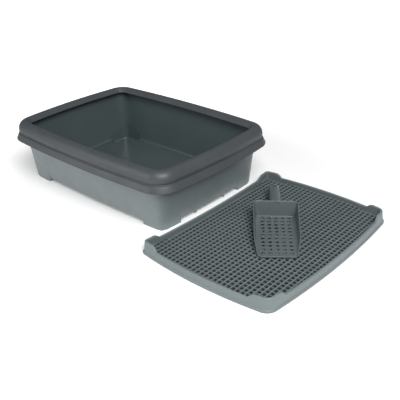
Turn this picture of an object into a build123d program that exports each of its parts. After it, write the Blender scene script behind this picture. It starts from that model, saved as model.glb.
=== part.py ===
from build123d import *
import os
from math import cos, radians, sin, tan

# Open litter tray in four mouldings: a pan, a rim that drops over the pan's edge,
# a low grid mat that lies against the pan's end, and a scoop that lies on the mat.
# Millimetres. X runs along the pan, Y across it, Z up from the floor.
# The origin is the middle of the pan's base, on the floor.

# Pan
pan_wall = 3.0
pan_base_length = 467.0
pan_base_width = 324.0
pan_base_bow = 6.0
pan_base_radius = 20.0
pan_top_length = 522.0
pan_top_width = 374.0
pan_top_bow = 10.0
pan_top_radius = 38.0
pan_top_height = 138.0
pan_edge_reach = 3.0
pan_edge_depth = 3.0

# Feet: one hollow foot at each corner of the pan
foot_height = 9.5
foot_proud = 1.5
foot_reach = 62.0
foot_radius = 12.0
foot_draft_angle = 5.0
foot_peak_height = 66.0
foot_end_lean = 25.0
nub_width = 5.0
nub_depth = 8.0
nub_height = 6.0
nub_setback = 6.0
nub_spacing = 99.0

# Raised step round the floor
floor_step_width = 9.0
floor_step_height = 1.4

# Rim
rim_wall = 2.8
rim_crest_inset = 11.0
rim_seat_gap = 0.3
rim_crest_over_edge = 15.0
rim_lip_reach = 12.5
rim_lip_drop = 11.0
rim_roll_reach = 21.0
rim_roll_flat = 4.0
rim_roll_side_share = 0.72
rim_roll_middle_out = 0.74
rim_roll_middle_down = 0.34
rim_groove_reach = 18.5
rim_groove_drop = 28.5
rim_step_width = 4.0
rim_step_drop = 1.6
rim_skirt_flare = 7.0
rim_skirt_drop = 13.0
rim_web_thickness = 2.4
rim_web_spacing = 150.0
rim_web_middle_share = 0.78
rim_web_foot_share = 0.86

# Grid mat
mat_length = 433.0
mat_width = 327.0
mat_bow = 13.0
mat_hollow = 10.0
mat_radius = 24.0
mat_wall = 5.0
mat_wall_height = 19.0
mat_wall_draft = 2.5
mat_plinth_reach = 1.6
mat_plinth_height = 5.0
mat_floor_underside = 2.0
mat_floor = 2.0
mat_gap_to_foot = 6.0
mat_offset_across = -26.5
lug_height = 10.0
lug_reach = 46.0
lug_end_lean = 40.0
rib_pitch = 11.0
ribs_per_solid_rib = 2
rib_thickness = 2.2
rib_height = 5.5
border_rib = 1.4
smallest_cell = 3.0
solid_corner_share = 0.35

# Scoop
scoop_wall = 2.4
scoop_length = 168.0
scoop_back_width = 92.0
scoop_front_width = 80.0
scoop_flare = 4.0
scoop_radius = 9.0
scoop_back_height = 38.0
scoop_shoulder_height = 22.0
scoop_shoulder_place = 122.0
scoop_front_height = 4.5
scoop_back_lean = 7.0
scoop_hole = 8.0
scoop_hole_columns = 5
scoop_hole_rows = 11
scoop_hole_spacing_across = 14.5
scoop_hole_spacing_along = 14.2
scoop_hole_margin = 10.0
handle_width = 27.0
handle_height = 13.0
handle_length = 104.0
handle_droop = 5.0
hanging_hole_size = 9.0
hanging_hole_end_margin = 13.0
scoop_place_x = 391.0
scoop_place_y = 37.0
scoop_heading = -52.5
scoop_rest_gap = 0.3


def bowed_outline(height, length, width, bow, radius, left_bow=None):
    """Rounded rectangle whose sides are shallow arcs that swell outwards by the bow."""
    left = bow if left_bow is None else left_bow
    half_length = length / 2 - bow
    half_width = width / 2 - bow
    with BuildSketch(Plane.XY.offset(height)) as outline:
        with BuildLine():
            ThreePointArc(
                (-half_length, -half_width), (0, -half_width - bow), (half_length, -half_width)
            )
            ThreePointArc(
                (half_length, -half_width), (half_length + bow, 0), (half_length, half_width)
            )
            ThreePointArc(
                (half_length, half_width), (0, half_width + bow), (-half_length, half_width)
            )
            ThreePointArc(
                (-half_length, half_width), (-half_length - left, 0), (-half_length, -half_width)
            )
        make_face()
        fillet(outline.vertices(), radius)
    return outline.sketch


def swell(place, half_span, bow):
    """How far a bowed side stands beyond its corners at a place along it."""
    return bow * (1 - (place / half_span) ** 2)


def pan_section(height, inset):
    """Outline of the pan's tapered wall at a height, moved inwards by the inset."""
    share = (height - foot_height) / (pan_top_height - foot_height)

    def between(base, top):
        return base + (top - base) * share

    return bowed_outline(
        height,
        between(pan_base_length, pan_top_length) - 2 * inset,
        between(pan_base_width, pan_top_width) - 2 * inset,
        between(pan_base_bow, pan_top_bow),
        between(pan_base_radius, pan_top_radius) - inset,
    )


def foot_section(height, inset):
    """Outline that the four feet follow, a little outside the pan's wall at its foot."""
    grow = height * tan(radians(foot_draft_angle)) + foot_proud
    return bowed_outline(
        height,
        pan_base_length + 2 * grow - 2 * inset,
        pan_base_width + 2 * grow - 2 * inset,
        pan_base_bow,
        foot_radius - inset,
    )


# Pan
pan_floor_top = foot_height + pan_wall
foot_half_length = pan_base_length / 2 + foot_proud
foot_half_width = pan_base_width / 2 + foot_proud
foot_end_length = foot_half_length - foot_reach
foot_end_width = foot_half_width - foot_reach
foot_end_run = foot_height * tan(radians(foot_end_lean))


def foot_blocks(inset):
    """Four corner blocks that cut the feet out of their outline, ends leaning outwards."""
    with BuildPart() as blocks:
        for x_side in (-1, 1):
            for y_side in (-1, 1):
                with BuildSketch(Plane.XY.offset(0)) as low:
                    with Locations((x_side * foot_half_length, y_side * foot_half_width)):
                        Rectangle(2 * (foot_reach - inset), 2 * (foot_reach - inset))
                with BuildSketch(Plane.XY.offset(foot_height)) as mid:
                    with Locations((x_side * foot_half_length, y_side * foot_half_width)):
                        Rectangle(
                            2 * (foot_reach + foot_end_run - inset),
                            2 * (foot_reach + foot_end_run - inset),
                        )
                loft(sections=[low.sketch, mid.sketch], ruled=True)
                with BuildSketch(Plane.XY.offset(foot_height)) as high:
                    with Locations((x_side * foot_half_length, y_side * foot_half_width)):
                        Rectangle(
                            2 * (foot_reach + foot_end_run - inset),
                            2 * (foot_reach + foot_end_run - inset),
                        )
                extrude(high.sketch, amount=foot_peak_height - foot_height)
    return blocks.part


with BuildPart() as foot_outside:
    loft(sections=[foot_section(0, 0), foot_section(foot_peak_height, 0)], ruled=True)
    add(foot_blocks(0), mode=Mode.INTERSECT)

with BuildPart() as foot_inside:
    loft(
        sections=[foot_section(pan_wall, pan_wall), foot_section(foot_peak_height, pan_wall)],
        ruled=True,
    )
    add(foot_blocks(pan_wall), mode=Mode.INTERSECT)

with BuildPart() as pan:
    loft(sections=[pan_section(foot_height, 0), pan_section(pan_top_height, 0)], ruled=True)
    add(foot_outside.part)
    with BuildSketch(Plane.XY.offset(pan_top_height - pan_edge_depth)) as edge:
        add(pan_section(pan_top_height, -pan_edge_reach).moved(Location((0, 0, -pan_top_height))))
    extrude(edge.sketch, amount=pan_edge_depth)
    loft(
        sections=[pan_section(pan_floor_top, pan_wall), pan_section(pan_top_height, pan_wall)],
        ruled=True,
        mode=Mode.SUBTRACT,
    )
    with BuildSketch(Plane.XY.offset(pan_floor_top)) as floor_panel:
        add(
            pan_section(pan_floor_top, pan_wall + floor_step_width).moved(
                Location((0, 0, -pan_floor_top))
            )
        )
    extrude(floor_panel.sketch, amount=floor_step_height)
    add(foot_inside.part, mode=Mode.SUBTRACT)
    with BuildSketch(Plane.XY.offset(foot_height - nub_height)) as nubs:
        for end in (-1, 1):
            with Locations((end * (pan_base_length / 2 - nub_setback), 0)):
                with GridLocations(0, nub_spacing, 1, 2):
                    Rectangle(nub_depth, nub_width)
    extrude(nubs.sketch, amount=nub_height + pan_wall / 2)
pan.part.label = "pan"


# Rim: one profile carried round the path of its crest, which lies inside the pan's edge
rim_crest_length = pan_top_length - 2 * rim_crest_inset
rim_crest_width = pan_top_width - 2 * rim_crest_inset
rim_crest_radius = pan_top_radius - rim_crest_inset
rim_crest_height = pan_top_height + rim_crest_over_edge
with BuildLine(Plane.XY.offset(rim_crest_height)) as rim_path:
    add(
        bowed_outline(
            rim_crest_height, rim_crest_length, rim_crest_width, pan_top_bow, rim_crest_radius
        ).wire()
    )

rim_profile_plane = Plane(
    origin=(0, -rim_crest_width / 2, rim_crest_height), x_dir=(0, -1, 0), z_dir=(-1, 0, 0)
)
rim_step_reach = rim_groove_reach + rim_step_width
rim_step_bottom = rim_groove_drop + rim_step_drop
roll_side_drop = rim_groove_drop * rim_roll_side_share
roll_middle_reach = rim_roll_flat + (rim_roll_reach - rim_roll_flat) * rim_roll_middle_out
web_foot = rim_seat_gap - rim_crest_over_edge
web_lip_end = -rim_lip_reach / 2


def web_sketch(origin, outwards):
    """Upright web under the roll, square to the rim's side, on a plane through its middle."""
    across = Vector(*outwards)
    with BuildSketch(
        Plane(origin=origin, x_dir=across, z_dir=across.cross(Vector(0, 0, 1)))
    ) as web:
        with BuildLine():
            Polyline(
                (web_lip_end, web_foot),
                (web_lip_end, -rim_lip_drop / 2 - rim_wall / 2),
                (-rim_wall, -rim_wall),
                (rim_roll_flat, -rim_wall / 2),
                (rim_roll_reach * rim_web_middle_share, web_foot / 2),
                (rim_roll_reach * rim_web_foot_share, web_foot),
                close=True,
            )
        make_face()
    return web.sketch


with BuildPart() as rim:
    with BuildSketch(rim_profile_plane) as rim_profile:
        with BuildLine():
            Line((-rim_lip_reach, -rim_lip_drop), (-rim_wall, -rim_wall / 2))
            TangentArc((0, 0), (-rim_wall, -rim_wall / 2), tangent=(-1, 0))
            Line((0, 0), (rim_roll_flat, 0))
            ThreePointArc(
                (rim_roll_flat, 0),
                (roll_middle_reach, -roll_side_drop * rim_roll_middle_down),
                (rim_roll_reach, -roll_side_drop),
            )
            Line((rim_roll_reach, -roll_side_drop), (rim_groove_reach, -rim_groove_drop))
            Line((rim_groove_reach, -rim_groove_drop), (rim_step_reach, -rim_step_bottom))
            Line(
                (rim_step_reach, -rim_step_bottom),
                (rim_step_reach + rim_skirt_flare, -rim_step_bottom - rim_skirt_drop),
            )
            offset(amount=rim_wall, side=Side.RIGHT, closed=True)
        make_face()
    sweep(rim_profile.sketch, path=rim_path.wire())
    for side in (-1, 1):
        for place in (-rim_web_spacing / 2, rim_web_spacing / 2):
            side_y = side * (rim_crest_width / 2 - pan_top_bow)
            side_y += side * swell(place, rim_crest_length / 2 - pan_top_bow, pan_top_bow)
            side_x = side * (rim_crest_length / 2 - pan_top_bow)
            side_x += side * swell(place, rim_crest_width / 2 - pan_top_bow, pan_top_bow)
            long_web = web_sketch(Vector(place, side_y, rim_crest_height), (0, side, 0))
            short_web = web_sketch(Vector(side_x, place, rim_crest_height), (side, 0, 0))
            extrude(long_web, amount=rim_web_thickness / 2, both=True)
            extrude(short_web, amount=rim_web_thickness / 2, both=True)
rim.part.label = "rim"


# Grid mat
foot_end = pan_base_length / 2 + foot_proud
mat_centre_x = foot_end + mat_gap_to_foot + mat_hollow + mat_plinth_reach + mat_width / 2
mat_floor_top = mat_floor_underside + mat_floor
rib_top = mat_floor_top + rib_height


def mat_section(height, inset):
    """Outline of the mat: three sides swell outwards, the side by the pan is hollow."""
    outline = bowed_outline(
        height,
        mat_width + 2 * mat_bow - 2 * inset,
        mat_length + 2 * mat_bow - 2 * inset,
        mat_bow,
        mat_radius - inset,
        left_bow=-mat_hollow,
    )
    return outline.moved(Location((mat_centre_x, mat_offset_across, 0)))


with BuildPart() as lug_outside:
    lug_top = mat_wall_height + lug_height
    lug_run = lug_height * tan(radians(lug_end_lean))
    for x_side in (-1, 1):
        for y_side in (-1, 1):
            corner = (
                mat_centre_x + x_side * mat_width / 2,
                mat_offset_across + y_side * mat_length / 2,
            )
            with BuildSketch(Plane.XY.offset(mat_wall_height)) as low:
                with Locations(corner):
                    Rectangle(2 * lug_reach, 2 * lug_reach)
            with BuildSketch(Plane.XY.offset(lug_top)) as high:
                with Locations(corner):
                    Rectangle(2 * (lug_reach - lug_run), 2 * (lug_reach - lug_run))
            loft(sections=[low.sketch, high.sketch], ruled=True)

mat_top_inset = mat_wall_draft
lug_inset = mat_wall_draft * (mat_wall_height + lug_height) / mat_wall_height
with BuildPart() as lugs:
    loft(
        sections=[mat_section(mat_wall_height, mat_top_inset), mat_section(lug_top, lug_inset)],
        ruled=True,
    )
    loft(
        sections=[
            mat_section(mat_wall_height, mat_top_inset + mat_wall),
            mat_section(lug_top, lug_inset + mat_wall),
        ],
        ruled=True,
        mode=Mode.SUBTRACT,
    )
    add(lug_outside.part, mode=Mode.INTERSECT)


cell_pitch = rib_pitch * ribs_per_solid_rib
solid_corner = mat_radius * solid_corner_share


def cell_boxes():
    """Low and high corners of every pocket in the grid, cut short along the bowed wall."""
    edge = mat_top_inset + mat_wall + border_rib
    half_x = mat_width / 2 - edge
    half_y = mat_length / 2 - edge
    columns = int((half_x + mat_bow) // cell_pitch) + 1
    rows = int((half_y + mat_bow) // cell_pitch) + 1
    boxes = []
    for column in range(-columns, columns):
        for row in range(-rows, rows):
            x_low = column * cell_pitch + rib_thickness / 2
            y_low = row * cell_pitch + rib_thickness / 2
            x_high = x_low + cell_pitch - rib_thickness
            y_high = y_low + cell_pitch - rib_thickness
            x_far = max(abs(x_low), abs(x_high))
            y_far = max(abs(y_low), abs(y_high))
            y_near = min(abs(y_low), abs(y_high))
            y_reach = half_y + swell(min(x_far, half_x), half_x, mat_bow)
            x_reach = half_x + swell(min(y_far, half_y), half_y, mat_bow)
            x_start = -half_x + swell(min(y_near, half_y), half_y, mat_hollow)
            x_low, x_high = max(x_low, x_start), min(x_high, x_reach)
            y_low, y_high = max(y_low, -y_reach), min(y_high, y_reach)
            in_corner = x_far > half_x - solid_corner and y_far > half_y - solid_corner
            long_enough = x_high - x_low > smallest_cell and y_high - y_low > smallest_cell
            if long_enough and not in_corner:
                boxes.append((x_low, y_low, x_high, y_high))
    return boxes


cells = cell_boxes()
cell_wires = [
    Polyline(
        (x_low, y_low, 0), (x_high, y_low, 0), (x_high, y_high, 0), (x_low, y_high, 0), close=True
    ).wire()
    for x_low, y_low, x_high, y_high in cells
]
print("cells", len(cells))
grid_outline = mat_section(0, mat_top_inset + mat_wall - border_rib).moved(
    Location((-mat_centre_x, -mat_offset_across, 0))
)
grid_face = Face(grid_outline.wire(), cell_wires).moved(
    Location((mat_centre_x, mat_offset_across, mat_floor_top))
)
with BuildPart() as grid_mat:
    extrude(mat_section(0, -mat_plinth_reach), amount=mat_plinth_height)
    loft(sections=[mat_section(0, 0), mat_section(mat_wall_height, mat_top_inset)], ruled=True)
    loft(
        sections=[
            mat_section(mat_floor_top, mat_top_inset + mat_wall),
            mat_section(mat_wall_height, mat_top_inset + mat_wall),
        ],
        ruled=True,
        mode=Mode.SUBTRACT,
    )
    extrude(mat_section(0, mat_wall), amount=mat_floor_underside, mode=Mode.SUBTRACT)
    add(lugs.part)
    extrude(grid_face, amount=rib_height)
grid_mat.part.label = "grid_mat"

# Scoop
scoop_plane = Plane(
    origin=(scoop_place_x, scoop_place_y, rib_top + scoop_rest_gap),
    x_dir=(cos(radians(scoop_heading)), sin(radians(scoop_heading)), 0),
    z_dir=(0, 0, 1),
)
scoop_side_plane = Plane(
    origin=scoop_plane.origin, x_dir=scoop_plane.x_dir, z_dir=-scoop_plane.y_dir
)


def basket_section(height, inset):
    """Tapered outline of the scoop's basket at a height, moved inwards by the inset."""
    grow = scoop_flare * height / scoop_back_height - inset
    lean = scoop_back_lean * height / scoop_back_height
    with BuildSketch(scoop_plane.offset(height)) as outline:
        with BuildLine():
            Polyline(
                (-lean + inset, -scoop_back_width / 2 - grow),
                (scoop_shoulder_place, -scoop_back_width / 2 - grow),
                (scoop_length - inset, -scoop_front_width / 2 - grow),
                (scoop_length - inset, scoop_front_width / 2 + grow),
                (scoop_shoulder_place, scoop_back_width / 2 + grow),
                (-lean + inset, scoop_back_width / 2 + grow),
                close=True,
            )
        make_face()
        fillet(outline.vertices(), scoop_radius - inset)
    return outline.sketch


handle_plane = Plane(
    origin=scoop_plane.from_local_coords(
        (-scoop_back_lean + scoop_wall, 0, scoop_back_height - handle_height)
    ),
    x_dir=-scoop_plane.y_dir,
    z_dir=-scoop_plane.x_dir + Vector(0, 0, -tan(radians(handle_droop))),
)
handle_inner_height = handle_height - scoop_wall
handle_inner_half = handle_width / 2 - scoop_wall
with BuildPart() as scoop:
    loft(sections=[basket_section(0, 0), basket_section(scoop_back_height, 0)], ruled=True)
    with BuildSketch(handle_plane) as handle_profile:
        with BuildLine():
            ThreePointArc((-handle_width / 2, 0), (0, handle_height), (handle_width / 2, 0))
            Line((-handle_width / 2, 0), (handle_width / 2, 0))
        make_face()
    extrude(handle_profile.sketch, amount=handle_length)
    with BuildSketch(handle_plane) as handle_hollow:
        with BuildLine():
            ThreePointArc(
                (-handle_inner_half, 0), (0, handle_inner_height), (handle_inner_half, 0)
            )
            Line((-handle_inner_half, 0), (handle_inner_half, 0))
        make_face()
    extrude(handle_hollow.sketch, amount=handle_length + scoop_wall, mode=Mode.SUBTRACT)
    loft(
        sections=[
            basket_section(scoop_wall, scoop_wall),
            basket_section(scoop_back_height + scoop_wall, scoop_wall),
        ],
        ruled=True,
        mode=Mode.SUBTRACT,
    )
    with BuildSketch(scoop_side_plane) as above_sides:
        with BuildLine():
            Polyline(
                (0, scoop_back_height),
                (scoop_shoulder_place, scoop_shoulder_height),
                (scoop_length - scoop_radius, scoop_front_height),
                (scoop_length + scoop_radius, scoop_front_height),
                (scoop_length + scoop_radius, 2 * scoop_back_height),
                (0, 2 * scoop_back_height),
                close=True,
            )
        make_face()
    extrude(above_sides.sketch, amount=scoop_back_width, both=True, mode=Mode.SUBTRACT)
    hole_middle = scoop_hole_margin + (scoop_hole_rows - 1) * scoop_hole_spacing_along / 2
    with BuildSketch(scoop_plane) as floor_holes:
        with Locations((hole_middle, 0)):
            with GridLocations(
                scoop_hole_spacing_along,
                scoop_hole_spacing_across,
                scoop_hole_rows,
                scoop_hole_columns,
            ):
                Circle(scoop_hole / 2)
    extrude(floor_holes.sketch, amount=scoop_wall, mode=Mode.SUBTRACT)
    with BuildSketch(scoop_plane) as hanging_hole:
        with Locations((hanging_hole_end_margin - scoop_back_lean - handle_length, 0)):
            Circle(hanging_hole_size / 2)
    extrude(hanging_hole.sketch, amount=2 * scoop_back_height, mode=Mode.SUBTRACT)
scoop.part.label = "scoop"

# The whole set stands with the middle of its bounding box over the origin
pieces = (pan.part, rim.part, grid_mat.part, scoop.part)
boxes = [piece.bounding_box() for piece in pieces]
middle_x = (min(box.min.X for box in boxes) + max(box.max.X for box in boxes)) / 2
middle_y = (min(box.min.Y for box in boxes) + max(box.max.Y for box in boxes)) / 2
to_middle = Location((-middle_x, -middle_y, 0))
print("pan's middle stands at", -middle_x, -middle_y)

os.makedirs("parts", exist_ok=True)
for piece in pieces:
    standing = piece.moved(to_middle)
    standing.label = piece.label
    export_step(standing, "parts/" + piece.label + ".step")
    print(piece.label, len(standing.solids()), "solid", standing.bounding_box())
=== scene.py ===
# %% [markdown]
# # An open litter tray in four plastic mouldings
# The real object is a deep pan with four hollow corner feet, a dark rim that drops over the pan's
# edge, a low mat with a grid of square pockets, and a perforated scoop that lies on the mat.
# All four are injection moulded in one kind of plastic, so they share rounded edges, an even wall
# and a slight taper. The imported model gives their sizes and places. It is loaded first, and every
# new surface is worked out around it.

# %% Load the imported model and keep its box
import bpy
import numpy as np
from mathutils import Matrix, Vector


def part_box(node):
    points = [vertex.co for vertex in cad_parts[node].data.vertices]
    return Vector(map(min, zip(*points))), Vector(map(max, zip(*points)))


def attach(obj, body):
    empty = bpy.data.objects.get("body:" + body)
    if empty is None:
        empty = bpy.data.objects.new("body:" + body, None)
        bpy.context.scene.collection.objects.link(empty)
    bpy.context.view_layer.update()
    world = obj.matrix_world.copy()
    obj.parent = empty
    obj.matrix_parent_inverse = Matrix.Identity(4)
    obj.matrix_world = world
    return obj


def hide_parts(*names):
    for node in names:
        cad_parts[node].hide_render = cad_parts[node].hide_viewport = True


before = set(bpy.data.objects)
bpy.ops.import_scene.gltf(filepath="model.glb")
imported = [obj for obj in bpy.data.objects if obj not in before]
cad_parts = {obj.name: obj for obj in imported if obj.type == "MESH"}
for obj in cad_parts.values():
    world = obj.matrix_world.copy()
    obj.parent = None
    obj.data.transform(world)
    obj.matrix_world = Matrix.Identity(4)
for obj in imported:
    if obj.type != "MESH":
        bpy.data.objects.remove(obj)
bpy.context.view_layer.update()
pan_low, pan_high = (np.array(corner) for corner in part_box("pan"))
rim_low, rim_high = (np.array(corner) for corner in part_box("rim"))
mat_low, mat_high = (np.array(corner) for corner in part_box("grid_mat"))
scoop_low, scoop_high = (np.array(corner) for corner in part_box("scoop"))
pan_middle = (rim_low + rim_high)[:2] / 2

# %% [markdown]
# ## One way to draw every outline
# Seen from above, the pan, the rim and the mat are all rectangles whose sides are shallow arcs and
# whose corners are tight arcs that meet the sides without a kink. A subdivided box would round the
# corners but give no say over the bow of a side. Here each point of the outline is kept as a
# centre, a radius and a direction, so a parallel outline is the same arcs with another radius.

# %% Directions and corner centres
MM = 0.001


def unit(angle):
    """Direction at an angle: (cos, sin) on the last axis."""
    return np.stack([np.cos(angle), np.sin(angle)], axis=-1)


def corner_centre(side_a, side_b, radius, start, rounds=30):
    """Centre of the corner arc. Its distance from each side's centre is that side's radius less
    its own, and Newton's method on those two equations finds it."""
    point = np.array(start, float)
    for _ in range(rounds):
        gaps = [point - side[0] for side in (side_a, side_b)]
        lengths = [np.linalg.norm(gap) for gap in gaps]
        wanted = [abs(side[1] - radius) for side in (side_a, side_b)]
        slope = np.array([gap / length for gap, length in zip(gaps, lengths)])
        point = point - np.linalg.solve(slope, np.subtract(lengths, wanted))
    return point


print("direction at 90 degrees", unit(np.radians(90)).round(3))

# %% [markdown]
# The outline is built side by side. Each side gives some points of its own, then the corner arc
# carries the direction over to the next side. Because only centres, radii and angles are kept,
# the same outline can be drawn larger or smaller later without losing its corners.

# %% Bowed rectangle from arcs


def bowed_arcs(half_x, half_y, bows, radii, places, corner_steps=14):
    """Centres, radii and directions of a bowed rectangle's points, anticlockwise from the near
    left corner. A side of half span h and bow b is an arc of radius (h * h + b * b) / (2 * b).
    Places are the shares from -1 to 1 along the long and the short sides where points stand. The
    four radii belong to the near right, far right, far left and near left corners."""
    spans = (half_x, half_y, half_x, half_y)
    depths = (half_y, half_x, half_y, half_x)
    outward = [np.array(v, float) for v in ((0, -1), (1, 0), (0, 1), (-1, 0))]
    sides = []
    for span, depth, bow, normal in zip(spans, depths, bows, outward):
        side_radius = (span ** 2 + bow ** 2) / (2 * bow)
        sides.append((normal * (depth + bow - side_radius), side_radius))
    centres = []
    for k, radius in enumerate(radii):
        corner = outward[k] * (depths[k] - radius) + outward[(k + 1) % 4] * (spans[k] - radius)
        centres.append(corner_centre(sides[k], sides[(k + 1) % 4], radius, corner))
    arc_centre, arc_radius, arc_angle = [], [], []
    for k in range(4):
        before, after = centres[k - 1], centres[k]
        side_centre, side_radius = sides[k]
        radius = radii[k]
        ends = [
            (c - side_centre) / (side_radius - r)
            for c, r in ((before, radii[k - 1]), (after, radius))
        ]
        base = -np.pi / 2 + k * np.pi / 2
        turn = [np.arctan2(*(unit(base + np.pi / 2) @ e, unit(base) @ e)) for e in ends]
        share = (np.asarray(places[k % 2]) + 1) / 2
        angles = base + turn[0] + (turn[1] - turn[0]) * share
        arc_centre.append(np.repeat(side_centre[None], len(angles), 0))
        arc_radius.append(np.full(len(angles), side_radius))
        arc_angle.append(angles)
        next_centre, next_radius = sides[(k + 1) % 4]
        leave = (after - next_centre) / (next_radius - radius)
        next_base = base + np.pi / 2
        next_turn = np.arctan2(unit(next_base + np.pi / 2) @ leave, unit(next_base) @ leave)
        sweep = np.linspace(base + turn[1], next_base + next_turn, corner_steps + 2)[1:-1]
        arc_centre.append(np.repeat(after[None], len(sweep), 0))
        arc_radius.append(np.full(len(sweep), radius))
        arc_angle.append(sweep)
    return np.concatenate(arc_centre), np.concatenate(arc_radius), np.concatenate(arc_angle)


def arc_points(arcs, offset=0.0):
    """Points of the outline moved outwards by an offset: centre + (radius + offset) * direction."""
    centre, radius, angle = arcs
    return centre + (radius + offset)[:, None] * unit(angle)


test_arcs = bowed_arcs(2, 1, [0.1] * 4, [0.2] * 4, ([-1, 1], [-1, 1]))
print("a test outline has", len(arc_points(test_arcs)), "points")

# %% [markdown]
# ## Meshes from grids of points
# Every piece below is a grid: rows that follow a profile and columns that run round an outline.
# The helper joins neighbouring points into four-sided faces and writes whole arrays into the
# mesh. It can close the grid in either direction, which is how a ring becomes watertight.

# %% Grid to mesh


def grid_faces(rows, columns, close_rows, close_columns, start=0):
    """Corner numbers of the faces between neighbouring rows and columns of a grid."""
    number = start + np.arange(rows * columns).reshape(rows, columns)
    if close_rows:
        number = np.vstack([number, number[:1]])
    if close_columns:
        number = np.hstack([number, number[:, :1]])
    corners = (number[:-1, :-1], number[:-1, 1:], number[1:, 1:], number[1:, :-1])
    return np.stack(corners, axis=-1).reshape(-1, 4)


def make_piece(name, points, faces, smooth=True):
    """Mesh object from an array of points and an array of four-cornered faces."""
    mesh = bpy.data.meshes.new(name)
    mesh.from_pydata(points.reshape(-1, 3), [], faces)
    mesh.polygons.foreach_set("use_smooth", np.full(len(mesh.polygons), smooth))
    mesh.update()
    piece = bpy.data.objects.new(name, mesh)
    bpy.context.collection.objects.link(piece)
    print(name, len(mesh.vertices), "points", len(mesh.polygons), "faces")
    return piece


print("a grid of 3 by 4 points has", len(grid_faces(3, 4, False, False)), "faces")

# %% [markdown]
# No moulded edge is sharp, because plastic can't fill a sharp corner of the mould. A Bevel
# modifier would use one width everywhere. Here a profile is a list of corners, each with its own
# radius, and every corner is replaced by its arc.

# %% Rounded profile


def rounded_profile(corners, radii, steps=6):
    """Closed profile whose corners are rounded: each corner becomes an arc that touches both of
    its edges at radius * cot(half of the inside angle) from the corner."""
    corners = np.array(corners, float)
    pieces = []
    for before, here, after, radius in zip(
        np.roll(corners, 1, 0), corners, np.roll(corners, -1, 0), radii
    ):
        to_before = (before - here) / np.linalg.norm(before - here)
        to_after = (after - here) / np.linalg.norm(after - here)
        half_angle = np.arccos(np.clip(to_before @ to_after, -1, 1)) / 2
        if radius == 0 or half_angle > np.pi / 2 - 0.01:
            pieces.append(here[None])
            continue
        middle = (to_before + to_after) / np.linalg.norm(to_before + to_after)
        centre = here + middle * radius / np.sin(half_angle)
        first = here + to_before * radius / np.tan(half_angle) - centre
        last = here + to_after * radius / np.tan(half_angle) - centre
        share = np.linspace(0, 1, steps + 1)[:, None]
        angle = np.arccos(np.clip(first @ last / radius ** 2, -1, 1))
        blend = (np.sin((1 - share) * angle) * first + np.sin(share * angle) * last)
        pieces.append(centre + blend / np.sin(angle))
    return np.concatenate(pieces)


test_square = np.array([(0, 0), (1, 0), (1, 1), (0, 1)], float)
print("a rounded square has", len(rounded_profile(test_square, [0.1] * 4)), "points")

# %% [markdown]
# ## The rim
# The rim is an upside-down channel: an inner lip that overhangs the litter, a fat roll, a groove
# and a skirt that flares over the pan's wall. A bevelled curve could draw it, but a section that
# is worked out point by point lets each edge have its own rounding. The section is drawn once and
# carried round the crest's outline.

# %% Rim sizes and path
rim_wall = 2.8 * MM
crest_height = rim_high[2]
rim_bow = 10 * MM
lip_reach = 12.5 * MM
lip_drop = 11 * MM
roll_reach = 21 * MM
groove_reach = 18.5 * MM
groove_drop = 28.5 * MM
step_width = 4 * MM
step_drop = 1.6 * MM
roll_centre_reach = 4 * MM
roll_centre_share = 0.70
skirt_flare = 7 * MM
skirt_reach = groove_reach + step_width + skirt_flare
skirt_drop = rim_high[2] - rim_low[2]
crest_half = (rim_high - rim_low)[:2] / 2 - skirt_reach - rim_bow
crest_radius = 27 * MM
side_places = np.linspace(-1, 1, 41)
rim_arcs = bowed_arcs(
    crest_half[0], crest_half[1], [rim_bow] * 4, [crest_radius] * 4, (side_places, side_places), 20
)
print("rim crest half sizes", crest_half, "points round it", len(rim_arcs[0]))

# %% [markdown]
# The roll is part of an ellipse, from its top round to just below its widest point. Its inner
# face is the same ellipse, smaller by the wall. The list walks down the outside to the skirt and
# comes back up inside, so the section is one closed line.

# %% Rim section


def rim_section():
    """Outer face from the lip over the roll to the skirt, and back along the inner face."""
    roll_angle = np.linspace(np.radians(90), np.radians(-12), 16)
    roll_centre = np.array([roll_centre_reach, -roll_centre_share * groove_drop])
    roll_size = np.array([roll_reach - roll_centre[0], -roll_centre[1]])
    roll = roll_centre + roll_size * unit(roll_angle)
    inner_roll = roll_centre + (roll_size - rim_wall) * unit(roll_angle[::-1])
    outer = [(-lip_reach, -lip_drop), (-1.2 * MM, -0.4 * MM), *roll]
    outer += [(groove_reach, -groove_drop), (groove_reach + step_width, -groove_drop - step_drop)]
    outer += [(skirt_reach, -skirt_drop)]
    inner = [(skirt_reach - rim_wall, -skirt_drop)]
    inner += [(groove_reach + step_width - rim_wall, -groove_drop - step_drop - rim_wall)]
    inner += [(groove_reach - rim_wall, -groove_drop - rim_wall), *inner_roll]
    inner += [(-lip_reach + rim_wall, -lip_drop - 0.6 * MM)]
    radii = [1.2 * MM, 2.5 * MM] + [0] * len(roll) + [1.6 * MM, 1.5 * MM, 1.2 * MM]
    radii += [1.1 * MM, 0.8 * MM, 0.8 * MM] + [0] * len(inner_roll) + [1.2 * MM]
    section = rounded_profile(outer + inner, radii)
    section[:, 1] += crest_height
    return section


print("rim section has", len(rim_section()), "points")

# %% [markdown]
# Section and path come together: every point of the section becomes a parallel outline at its own
# height. Closing the grid both ways makes a ring with no open edge.

# %% Rim mesh


def carried(arcs, profile, middle):
    """Points of a profile carried round an outline. The profile's first number is the distance
    outwards and its second is the height."""
    rings = [
        np.column_stack([arc_points(arcs, reach) + middle, np.full(len(arcs[0]), height)])
        for reach, height in profile
    ]
    return np.array(rings)


rim_ring = carried(rim_arcs, rim_section(), pan_middle)
rim_piece = make_piece("rim_shell", rim_ring, grid_faces(*rim_ring.shape[:2], True, True))
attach(rim_piece, "rim")
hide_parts("rim")

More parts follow.
